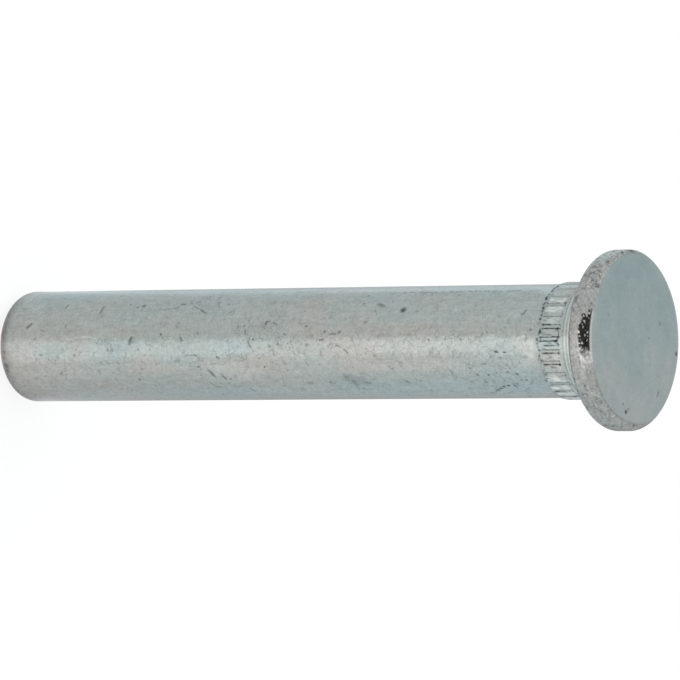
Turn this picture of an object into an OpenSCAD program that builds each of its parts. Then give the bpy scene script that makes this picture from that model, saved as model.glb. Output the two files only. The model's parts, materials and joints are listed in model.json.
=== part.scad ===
// Headed hinge pin in zinc-plated steel: a plain shank, a grooved press collar and a flat head.
// It stands on its free end, at z = 0, with its head up. All sizes are in millimetres.

/* [Shank] */
// Diameter of the plain shank
shank_d = 8.7; // [6:0.1:10]
// Length from the free end to the underside of the head
grip_l = 54.6; // [30:0.1:90]
// Radius of the rounded edge at the free end
tip_r = 1.25; // [0.3:0.05:2]

/* [Head] */
// Diameter of the head
head_d = 13.8; // [12.6:0.1:20]
// Thickness of the head
head_h = 1.8; // [1.2:0.1:5]
// Radius of the edge between the head's face and its rim
face_edge_r = 0.45; // [0.1:0.05:0.55]
// Radius of the edge between the rim and the head's underside
under_edge_r = 0.45; // [0.1:0.05:0.55]
// Radius of the fillet between the collar and the head's underside
neck_fillet_r = 0.25; // [0.1:0.05:0.4]

/* [Press collar] */
// How far the collar stands out from the shank
collar_h = 0.15; // [0.05:0.01:0.3]
// Length of the collar at its full diameter, under the head
collar_l = 3.9; // [2.8:0.05:10]
// Length of the slope that leads from the shank up to the collar
lead_l = 0.65; // [0.2:0.05:2]

/* [Grooves] */
// Number of grooves round the collar
groove_count = 30; // [12:1:36]
// Width of a groove, which has a round floor
groove_w = 0.22; // [0.1:0.01:0.4]
// Depth of a groove below the collar's surface
groove_depth = 0.15; // [0.05:0.01:0.25]
// Length of a groove, with its round ends
groove_l = 1.5; // [0.8:0.05:2]
// Distance from the collar's lower edge to the grooves
groove_offset = 0.25; // [0.1:0.05:0.5]

/* [Hidden] */
$fn = 96;
shank_r = shank_d / 2;
collar_r = shank_r + collar_h;
collar_z = grip_l - collar_l;
head_r = head_d / 2;
total_l = grip_l + head_h;
groove_r = groove_w / 2;
groove_axis_r = collar_r - groove_depth + groove_r;
groove_z = collar_z + groove_offset;
groove_step = 360 / groove_count;
zinc_grey = "#a4aeac";

// The sliver that rounding with radius r takes off a square corner, with the corner at the origin.
module corner_sliver(r) {
    difference() {
        square(r);
        translate([r, r]) circle(r);
    }
}

// Half section of the shank, with its rounded free end.
module shank_section() {
    difference() {
        square([shank_r, total_l]);
        translate([shank_r, 0]) mirror([1, 0]) corner_sliver(tip_r);
    }
}

// Half section of the press collar, with its lead and the fillet that runs into the head.
module collar_section() {
    polygon([
        [0, collar_z - lead_l],
        [shank_r, collar_z - lead_l],
        [collar_r, collar_z],
        [collar_r, total_l],
        [0, total_l]
    ]);
    translate([collar_r, grip_l]) mirror([0, 1]) corner_sliver(neck_fillet_r);
}

// Half section of the head, with a rounded edge above and below its rim.
module head_section() {
    difference() {
        translate([0, grip_l]) square([head_r, head_h]);
        translate([head_r, grip_l]) mirror([1, 0]) corner_sliver(under_edge_r);
        translate([head_r, total_l]) rotate(180) corner_sliver(face_edge_r);
    }
}

// Tool that presses one groove: a bar along z with ball ends, starting at the origin.
module groove_tool() {
    rotate_extrude() intersection() {
        union() {
            translate([0, groove_r]) circle(groove_r);
            translate([0, groove_r]) square([groove_r, groove_l - groove_w]);
            translate([0, groove_l - groove_r]) circle(groove_r);
        }
        square([groove_w, groove_l]);
    }
}

// The ring of grooves. The first one faces -Y.
module grooves() {
    for (i = [0 : groove_count - 1])
        rotate(i * groove_step - 90) translate([groove_axis_r, 0, groove_z]) groove_tool();
}

// The whole pin, headed and grooved from one piece of bar.
module hinge_pin() {
    color(zinc_grey) difference() {
        rotate_extrude() {
            shank_section();
            collar_section();
            head_section();
        }
        grooves();
    }
}

hinge_pin();
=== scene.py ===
"""Zinc-plated hinge pin, dressed for its portrait: the worn surface, the studio and the camera.

The pin stands on its free end with its head up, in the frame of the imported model. Places on it are given
in millimetres above the free end, and in degrees round its axis, from -Y (the front) towards +X.
"""

import json
import logging
import math
import random
from dataclasses import dataclass, fields
from enum import Enum
from functools import partial

import bmesh
import bpy
import numpy as np
from mathutils import Matrix, Vector, noise


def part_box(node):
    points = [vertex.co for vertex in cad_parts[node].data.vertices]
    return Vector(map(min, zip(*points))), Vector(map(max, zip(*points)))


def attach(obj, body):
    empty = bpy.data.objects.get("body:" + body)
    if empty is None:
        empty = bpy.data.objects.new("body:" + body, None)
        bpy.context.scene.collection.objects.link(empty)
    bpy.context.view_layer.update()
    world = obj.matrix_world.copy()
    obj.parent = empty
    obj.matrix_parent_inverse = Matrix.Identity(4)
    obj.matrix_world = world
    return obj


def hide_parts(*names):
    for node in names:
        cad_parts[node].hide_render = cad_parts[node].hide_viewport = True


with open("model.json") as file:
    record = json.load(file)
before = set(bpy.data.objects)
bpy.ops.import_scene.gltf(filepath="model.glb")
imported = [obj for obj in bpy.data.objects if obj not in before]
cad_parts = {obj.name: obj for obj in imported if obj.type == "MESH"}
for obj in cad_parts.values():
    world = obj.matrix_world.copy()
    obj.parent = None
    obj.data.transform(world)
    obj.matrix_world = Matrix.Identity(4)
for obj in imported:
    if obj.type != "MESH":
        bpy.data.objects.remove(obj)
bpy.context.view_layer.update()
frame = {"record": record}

Tree = bpy.types.NodeTree
Socket = bpy.types.NodeSocket
Shape = bmesh.types.BMesh
Face = bmesh.types.BMFace

LOG = logging.getLogger("hinge_pin")
MM = 0.001
# Slack in millimetres when places are compared.
TINY = 1e-4
# Depths in millimetres of a dark dot, of a fine line and of what counts as the head's face.
DOT_DEPTH = 0.02
LINE_DEPTH = 0.012
FACE_DEPTH = 0.2
# Values that each point of the mesh carries for the materials.
POINT_VALUES = ("soil", "gleam", "tint", "crackle")
NODE = "hinge_pin"


class Zone(Enum):
    """Stretches of the pin that were finished in their own way, in the order of the material slots."""

    SHANK = 0
    COLLAR = 1
    RIM = 2
    FACE = 3


class MarkKind(Enum):
    """Kinds of handling mark on the plate."""

    PIT = "pit"
    SCRATCH = "scratch"
    STAIN = "stain"


def linear(colour: str, level: float = 1.0) -> tuple[float, float, float, float]:
    """Turn an sRGB hex colour into linear light.

    Args:
        colour: Colour as "#rrggbb".
        level: Factor on the linear value.

    Returns:
        Linear red, green and blue, with an alpha of one.
    """
    channels = [int(colour[i:i + 2], 16) / 255 for i in (1, 3, 5)]
    light = [c / 12.92 if c <= 0.04045 else ((c + 0.055) / 1.055) ** 2.4 for c in channels]
    return (*(level * c for c in light), 1.0)


def empty_tree(owner: bpy.types.Material | bpy.types.World) -> Tree:
    """Turn on the nodes of a material or a world, and return its tree without any.

    Args:
        owner: Material or world.

    Returns:
        Its node tree, which is empty.
    """
    owner.use_nodes = True
    owner.node_tree.nodes.clear()
    return owner.node_tree


def add_node(tree: Tree, kind: str, inputs: dict | None = None, **settings) -> bpy.types.Node:
    """Add a node with its settings, and fill or link its inputs.

    Args:
        tree: Node tree that gets the node.
        kind: Type name of the node, without ShaderNode in front.
        inputs: Value for each input's name or number, or the socket or node to link from. A node gives its
            first output.
        settings: Attributes of the node.

    Returns:
        The new node.
    """
    node = tree.nodes.new(f"ShaderNode{kind}")
    for key, value in settings.items():
        setattr(node, key, value)
    for key, value in (inputs or {}).items():
        if isinstance(value, bpy.types.Node):
            value = value.outputs[0]
        if isinstance(value, Socket):
            tree.links.new(value, node.inputs[key])
        else:
            node.inputs[key].default_value = value
    return node


def fill_ramp(ramp: bpy.types.ColorRamp, stops: list[tuple[float, tuple]]) -> None:
    """Give a colour ramp its stops.

    Args:
        ramp: Ramp of a new node, which has two stops.
        stops: Position from 0 to 1 and linear colour of each stop, in rising order.
    """
    while len(ramp.elements) < len(stops):
        ramp.elements.new(1.0)
    for element, (position, colour) in zip(ramp.elements, stops):
        element.position = position
        element.color = colour


def step(low: float, high: float, values: np.ndarray) -> np.ndarray:
    """Return a smooth step from 0 at low to 1 at high."""
    t = np.clip((values - low) / (high - low), 0.0, 1.0)
    return t * t * (3.0 - 2.0 * t)


def bell(distance: np.ndarray, reach: float, power: int = 2) -> np.ndarray:
    """Return a bell that is 1 at no distance and falls off round the reach, more sharply for a high power."""
    return np.exp(-np.abs(distance / reach) ** power)


def turned(angles: np.ndarray | float, centre: float) -> np.ndarray | float:
    """Return the angles from a centre, from -180 to 180 degrees."""
    return (angles - centre + 180) % 360 - 180


def cloud(points: np.ndarray, size: float, shift: float = 0.0) -> np.ndarray:
    """Return Perlin noise from -1 to 1 with patches of the given size.

    Args:
        points: Places in millimetres, one per row.
        size: Size of a patch in millimetres.
        shift: Moves the noise, so that two clouds of one size differ.

    Returns:
        One value per place.
    """
    move = Vector((shift, shift, shift))
    return np.array([noise.noise(Vector(p) / size + move) for p in points])


@dataclass(frozen=True)
class Stretch:
    """A stretch of angles or heights, which fades in from start to full and out from fade to end."""

    start: float
    full: float
    fade: float
    end: float

    def share(self, values: np.ndarray) -> np.ndarray:
        """Return how far each value lies in the stretch, from 0 to 1."""
        return step(self.start, self.full, values) * (1 - step(self.fade, self.end, values))


@dataclass(frozen=True)
class ZincPlate:
    """Bright zinc plate with a clear bluish passivate, on cold-headed steel.

    A satin mirror of the room in grey-green, with a blue or rose tint in slow patches, fine streaks along
    the bar, a grainy skin that breaks up every edge of light, pinholes, and grime in whatever is cut into it.
    Its dark colour also lays on painted shade and painted reflections, and its pale colour painted
    highlights.
    """

    name: str
    plate: str = "#9ca6a4"
    cool: str = "#96a5a7"
    warm: str = "#a3a5a2"
    bare: str = "#d8dfdb"
    grime: str = "#232624"
    roughness: float = 0.15
    roughness_spread: float = 0.08
    tint_mm: float = 5.0
    streak_mm: float = 0.24
    streak_stretch: float = 9.0
    streak_contrast: float = 0.06
    mottle_mm: float = 0.7
    mottle_contrast: float = 0.06
    grit_mm: float = 0.16
    grit_contrast: float = 0.08
    skin_mm: float = 0.34
    skin_height_mm: float = 0.024
    skin_contrast: float = 0.06
    swell_mm: float = 1.3
    swell_height_mm: float = 0.012
    fleck_mm: float = 0.9
    fleck_share: float = 0.14
    fleck_darkness: float = 0.55
    pinhole_mm: float = 0.4
    pinhole_share: float = 0.45
    pinhole_darkness: float = 0.4
    pinhole_depth_mm: float = 0.012
    crack_mm: float = 0.8
    crack_depth: float = 0.28

    def material(self) -> bpy.types.Material:
        """Build the node material of this finish.

        Returns:
            The material, which reads the soil and painted shade, the gleam and painted highlights, the tint
            and the crackle of each point of the mesh.
        """
        material = bpy.data.materials.new(self.name)
        tree = empty_tree(material)
        place = add_node(tree, "TexCoord").outputs["Object"]
        soil, gleam, tint, crackle = (
            add_node(tree, "Attribute", attribute_name=name).outputs["Fac"]
            for name in POINT_VALUES
        )
        streaks = self._streaks(tree, place)
        mottle, grit, skin = (
            add_node(
                tree, "TexNoise", {"Vector": place, "Scale": 1 / (size * MM), "Detail": detail}
            ).outputs[0]
            for size, detail in ((self.mottle_mm, 3.0), (self.grit_mm, 1.0), (self.skin_mm, 1.5))
        )
        flecks = self._specks(tree, place, self.fleck_mm, self.fleck_share, self.fleck_darkness)
        pinholes = self._specks(tree, place, self.pinhole_mm, self.pinhole_share, self.pinhole_darkness)
        thick = add_node(tree, "Math", {0: crackle, 1: 1.0, 2: 0.7}, operation="MULTIPLY_ADD")
        holes = add_node(tree, "Math", {0: pinholes, 1: thick}, operation="MULTIPLY")
        base = self._tinted(tree, place, tint)
        shaded = self._shaded(tree, base, (streaks, mottle, grit, skin))
        # Grime colour: grime, painted shade and painted reflections; bare colour: worn metal and painted
        # highlights.
        covers = (
            (flecks, self.grime),
            (holes.outputs[0], self.grime),
            (self._cracks(tree, place, crackle), self.grime),
            (gleam, self.bare),
            (soil, self.grime),
        )
        plate = add_node(
            tree, "BsdfPrincipled",
            {
                "Base Color": self._covered(tree, shaded, covers),
                "Roughness": self._roughness(tree, streaks, mottle, soil),
                "Normal": self._normal(tree, place, skin, streaks, pinholes),
                "Metallic": 1.0,
            },
        )
        add_node(tree, "OutputMaterial", {"Surface": plate})
        return material

    def _streaks(self, tree: Tree, place: Socket) -> Socket:
        """Add the streaks that drawing left along the bar.

        Args:
            tree: Node tree of the material.
            place: Object coordinates.

        Returns:
            Noise from 0 to 1, drawn out along the axis.
        """
        drawn = add_node(tree, "Mapping", {"Vector": place, "Scale": (1, 1, 1 / self.streak_stretch)})
        return add_node(
            tree, "TexNoise",
            {"Vector": drawn, "Scale": 1 / (self.streak_mm * MM), "Detail": 4.0, "Roughness": 0.6},
        ).outputs[0]

    def _tinted(self, tree: Tree, place: Socket, tint: Socket) -> Socket:
        """Add the colour of the passivate, from blue over grey-green to rose.

        Args:
            tree: Node tree of the material.
            place: Object coordinates.
            tint: Tint of a point, from -1 for blue to 1 for rose.

        Returns:
            The colour socket.
        """
        patches = add_node(
            tree, "TexNoise", {"Vector": place, "Scale": 1 / (self.tint_mm * MM), "Detail": 2.0}
        )
        share = add_node(tree, "Math", {0: tint, 1: 0.45, 2: patches}, operation="MULTIPLY_ADD")
        ramp = add_node(tree, "ValToRGB", {"Fac": share})
        fill_ramp(
            ramp.color_ramp,
            [(0.1, linear(self.cool)), (0.5, linear(self.plate)), (0.9, linear(self.warm))],
        )
        return ramp.outputs[0]

    def _shaded(self, tree: Tree, colour: Socket, patterns: tuple[Socket, ...]) -> Socket:
        """Lighten and darken the plate with its streaks, its mottle, its grit and its grainy skin.

        Args:
            tree: Node tree of the material.
            colour: Colour of the plate.
            patterns: Streaks, mottle, grit and skin, each 0 to 1.

        Returns:
            The colour socket.
        """
        contrasts = (self.streak_contrast, self.mottle_contrast, self.grit_contrast, self.skin_contrast)
        for pattern, contrast in zip(patterns, contrasts):
            shade = add_node(
                tree, "MapRange",
                {
                    "Value": pattern, "From Min": 0.3, "From Max": 0.7,
                    "To Min": 1 - contrast, "To Max": 1 + contrast,
                },
            )
            colour = add_node(tree, "VectorMath", {0: colour, "Scale": shade}, operation="SCALE").outputs[0]
        return colour

    @staticmethod
    def _covered(tree: Tree, colour: Socket, covers: tuple[tuple[Socket, str], ...]) -> Socket:
        """Lay what covers the plate over its colour, in order.

        Args:
            tree: Node tree of the material.
            colour: Colour of the plate.
            covers: Share, 0 to 1, and hex colour of each cover.

        Returns:
            The colour socket.
        """
        for share, cover in covers:
            colour = add_node(
                tree, "Mix", {0: share, 6: colour, 7: linear(cover)}, data_type="RGBA"
            ).outputs[2]
        return colour

    def _cracks(self, tree: Tree, place: Socket, crackle: Socket) -> Socket:
        """Add short worm-like marks in the plate, in patches and wherever it is crackled.

        Args:
            tree: Node tree of the material.
            place: Object coordinates.
            crackle: Share of crackle at a point.

        Returns:
            Share of grime in the marks, 0 to 1.
        """
        lines = add_node(
            tree, "TexNoise", {"Vector": place, "Scale": 1 / (self.crack_mm * MM), "Detail": 3.0}
        )
        level = add_node(tree, "Math", {0: lines, 1: 0.5}, operation="SUBTRACT")
        away = add_node(tree, "Math", {0: level}, operation="ABSOLUTE")
        thin = add_node(
            tree, "MapRange",
            {
                "Value": away, "From Min": 0.006, "From Max": 0.03,
                "To Min": self.crack_depth, "To Max": 0.0,
            },
        )
        patches = add_node(
            tree, "TexNoise", {"Vector": place, "Scale": 1.4 / (self.crack_mm * MM), "Detail": 2.0}
        )
        spread = add_node(tree, "Math", {0: crackle, 1: 0.2, 2: patches}, operation="MULTIPLY_ADD")
        where = add_node(tree, "MapRange", {"Value": spread, "From Min": 0.56, "From Max": 0.66})
        return add_node(tree, "Math", {0: thin, 1: where}, operation="MULTIPLY").outputs[0]

    @staticmethod
    def _specks(tree: Tree, place: Socket, spacing_mm: float, share: float, darkness: float) -> Socket:
        """Add small dark specks, one at most in each cell.

        Args:
            tree: Node tree of the material.
            place: Object coordinates.
            spacing_mm: Size of a cell in millimetres.
            share: Share of the cells that have a speck.
            darkness: Share of grime in the middle of a speck.

        Returns:
            Share of grime from the specks, 0 to 1.
        """
        cells = add_node(tree, "TexVoronoi", {"Vector": place, "Scale": 1 / (spacing_mm * MM)})
        pick = add_node(tree, "SeparateColor", {0: cells.outputs["Color"]})
        reach = add_node(
            tree, "MapRange",
            {"Value": pick, "From Min": 1 - share, "From Max": 1.0, "To Max": 0.2},
        )
        near = add_node(tree, "Math", {0: reach, 1: cells.outputs["Distance"]}, operation="SUBTRACT")
        return add_node(tree, "MapRange", {"Value": near, "From Max": 0.1, "To Max": darkness}).outputs[0]

    def _roughness(self, tree: Tree, streaks: Socket, mottle: Socket, soil: Socket) -> Socket:
        """Add the roughness: satin, uneven with the streaks and the mottle, and dull under grime and painted
        shade.

        Args:
            tree: Node tree of the material.
            streaks: Streaks along the bar, 0 to 1.
            mottle: Grey mottle, 0 to 1.
            soil: Share of grime and painted shade at a point.

        Returns:
            The roughness socket.
        """
        uneven = add_node(tree, "Math", {0: streaks, 1: mottle}, operation="MULTIPLY")
        satin = add_node(
            tree, "MapRange",
            {
                "Value": uneven, "From Min": 0.1, "From Max": 0.4,
                "To Min": self.roughness - self.roughness_spread / 2,
                "To Max": self.roughness + self.roughness_spread / 2,
            },
        )
        dull = 0.3
        return add_node(tree, "Math", {0: soil, 1: dull, 2: satin}, operation="MULTIPLY_ADD").outputs[0]

    def _normal(self, tree: Tree, place: Socket, skin: Socket, streaks: Socket, pinholes: Socket) -> Socket:
        """Add the bumps of the plate: its swell, its grainy skin, the streaks and the pinholes.

        Args:
            tree: Node tree of the material.
            place: Object coordinates.
            skin: Grainy skin, 0 to 1.
            streaks: Streaks along the bar, 0 to 1.
            pinholes: Grime in the pinholes, which are sunk.

        Returns:
            The normal socket.
        """
        swell = add_node(
            tree, "TexNoise", {"Vector": place, "Scale": 1 / (self.swell_mm * MM), "Detail": 2.0}
        )
        streak_height_mm = 0.0006
        layers = (
            (swell.outputs[0], self.swell_height_mm, False),
            (skin, self.skin_height_mm, False),
            (streaks, streak_height_mm, False),
            (pinholes, self.pinhole_depth_mm, True),
        )
        normal = None
        for height, size, sunk in layers:
            inputs = {"Height": height, "Distance": size * MM}
            if normal:
                inputs["Normal"] = normal
            normal = add_node(tree, "Bump", inputs, invert=sunk).outputs[0]
        return normal


SHANK_PLATE = ZincPlate("zinc_plate_drawn_shank")
COLLAR_PLATE = ZincPlate(
    "zinc_plate_grooved_collar", roughness=0.22, mottle_mm=0.4, skin_height_mm=0.008, crack_depth=0.0
)
RIM_PLATE = ZincPlate(
    "zinc_plate_upset_rim", plate="#9b9d9b", cool="#969f9d", warm="#9f9d9a", bare="#dbd9d5", roughness=0.25,
    streak_stretch=1.0, streak_contrast=0.05, mottle_mm=0.45, mottle_contrast=0.13, grit_contrast=0.12,
    skin_mm=0.3, skin_height_mm=0.016, fleck_mm=0.6, fleck_share=0.3,
)
FACE_PLATE = ZincPlate(
    "zinc_plate_flat_face", plate="#8e9c9d", cool="#869799", warm="#9aa09f", roughness=0.24,
    tint_mm=4.0, streak_stretch=1.0, streak_contrast=0.02, mottle_mm=1.0, mottle_contrast=0.045,
    grit_contrast=0.04, skin_contrast=0.02, swell_height_mm=0.004, skin_height_mm=0.001, fleck_mm=1.3,
    fleck_share=0.10, pinhole_share=0.12, pinhole_depth_mm=0.004, crack_depth=0.06,
)
FINISHES = {Zone.SHANK: SHANK_PLATE, Zone.COLLAR: COLLAR_PLATE, Zone.RIM: RIM_PLATE, Zone.FACE: FACE_PLATE}


@dataclass(frozen=True)
class PinSizes:
    """Sizes of the pin in millimetres: the mounted faces from the frame, the rest as the pin was made."""

    shank_r: float
    collar_r: float
    collar_plain_l: float
    head_r: float
    grip_l: float
    total_l: float
    tip_r: float = 1.25
    lead_l: float = 0.65
    fillet_r: float = 0.25
    edge_r: float = 0.45
    worn_edge: float = 0.2
    crisp_edge: float = 0.25
    groove_count: int = 30
    groove_w: float = 0.22
    groove_depth: float = 0.15
    groove_l: float = 1.5
    groove_offset: float = 0.25

    @classmethod
    def from_frame(cls) -> "PinSizes":
        """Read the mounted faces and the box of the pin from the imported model.

        Returns:
            The sizes of the pin.
        """
        mounts = {mount["name"]: mount for mount in frame["record"]["mounts"]}
        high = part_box(NODE)[1]
        return cls(
            shank_r=mounts["shank"]["dims"]["r_mm"],
            collar_r=mounts["press_collar"]["dims"]["r_mm"],
            collar_plain_l=mounts["press_collar"]["dims"]["length_mm"],
            head_r=high[0] / MM,
            grip_l=mounts["head_seat"]["pos_m"][2] / MM,
            total_l=high[2] / MM,
        )

    @property
    def collar_z(self) -> float:
        """Height of the collar's lower edge."""
        return self.grip_l - self.fillet_r - self.collar_plain_l

    @property
    def lead_z(self) -> float:
        """Height at which the slope to the collar starts."""
        return self.collar_z - self.lead_l

    @property
    def face_r(self) -> float:
        """Radius of the flat part of the head's face."""
        return self.head_r - self.edge_r

    @property
    def groove_z(self) -> tuple[float, float]:
        """Heights of the lower and upper ends of the grooves."""
        low = self.collar_z + self.groove_offset
        return low, low + self.groove_l


@dataclass(frozen=True)
class Mark:
    """One mark on the plate: its place, its size in millimetres, its tilt from the axis and its grime, which
    in a pit is laid darker towards the free end as painted shade.
    """

    kind: MarkKind
    height: float
    angle: float
    length: float
    width: float
    tilt: float
    depth: float
    soil: float


@dataclass(frozen=True)
class Hairline:
    """One fine wavy crack in the plate, through places given by height and angle."""

    places: tuple[tuple[float, float], ...]
    width: float = 0.09
    soil: float = 0.5
    shine: float = 0.0


@dataclass(frozen=True)
class Patch:
    """One soft patch on the plate, with its length in millimetres, its spread in degrees and its strength."""

    height: float
    angle: float
    length: float
    spread: float
    strength: float


@dataclass(frozen=True)
class FaceSpeck:
    """One speck on the head's face, by its place across the face and its radius in millimetres."""

    x: float
    y: float
    radius: float
    soil: float


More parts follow.
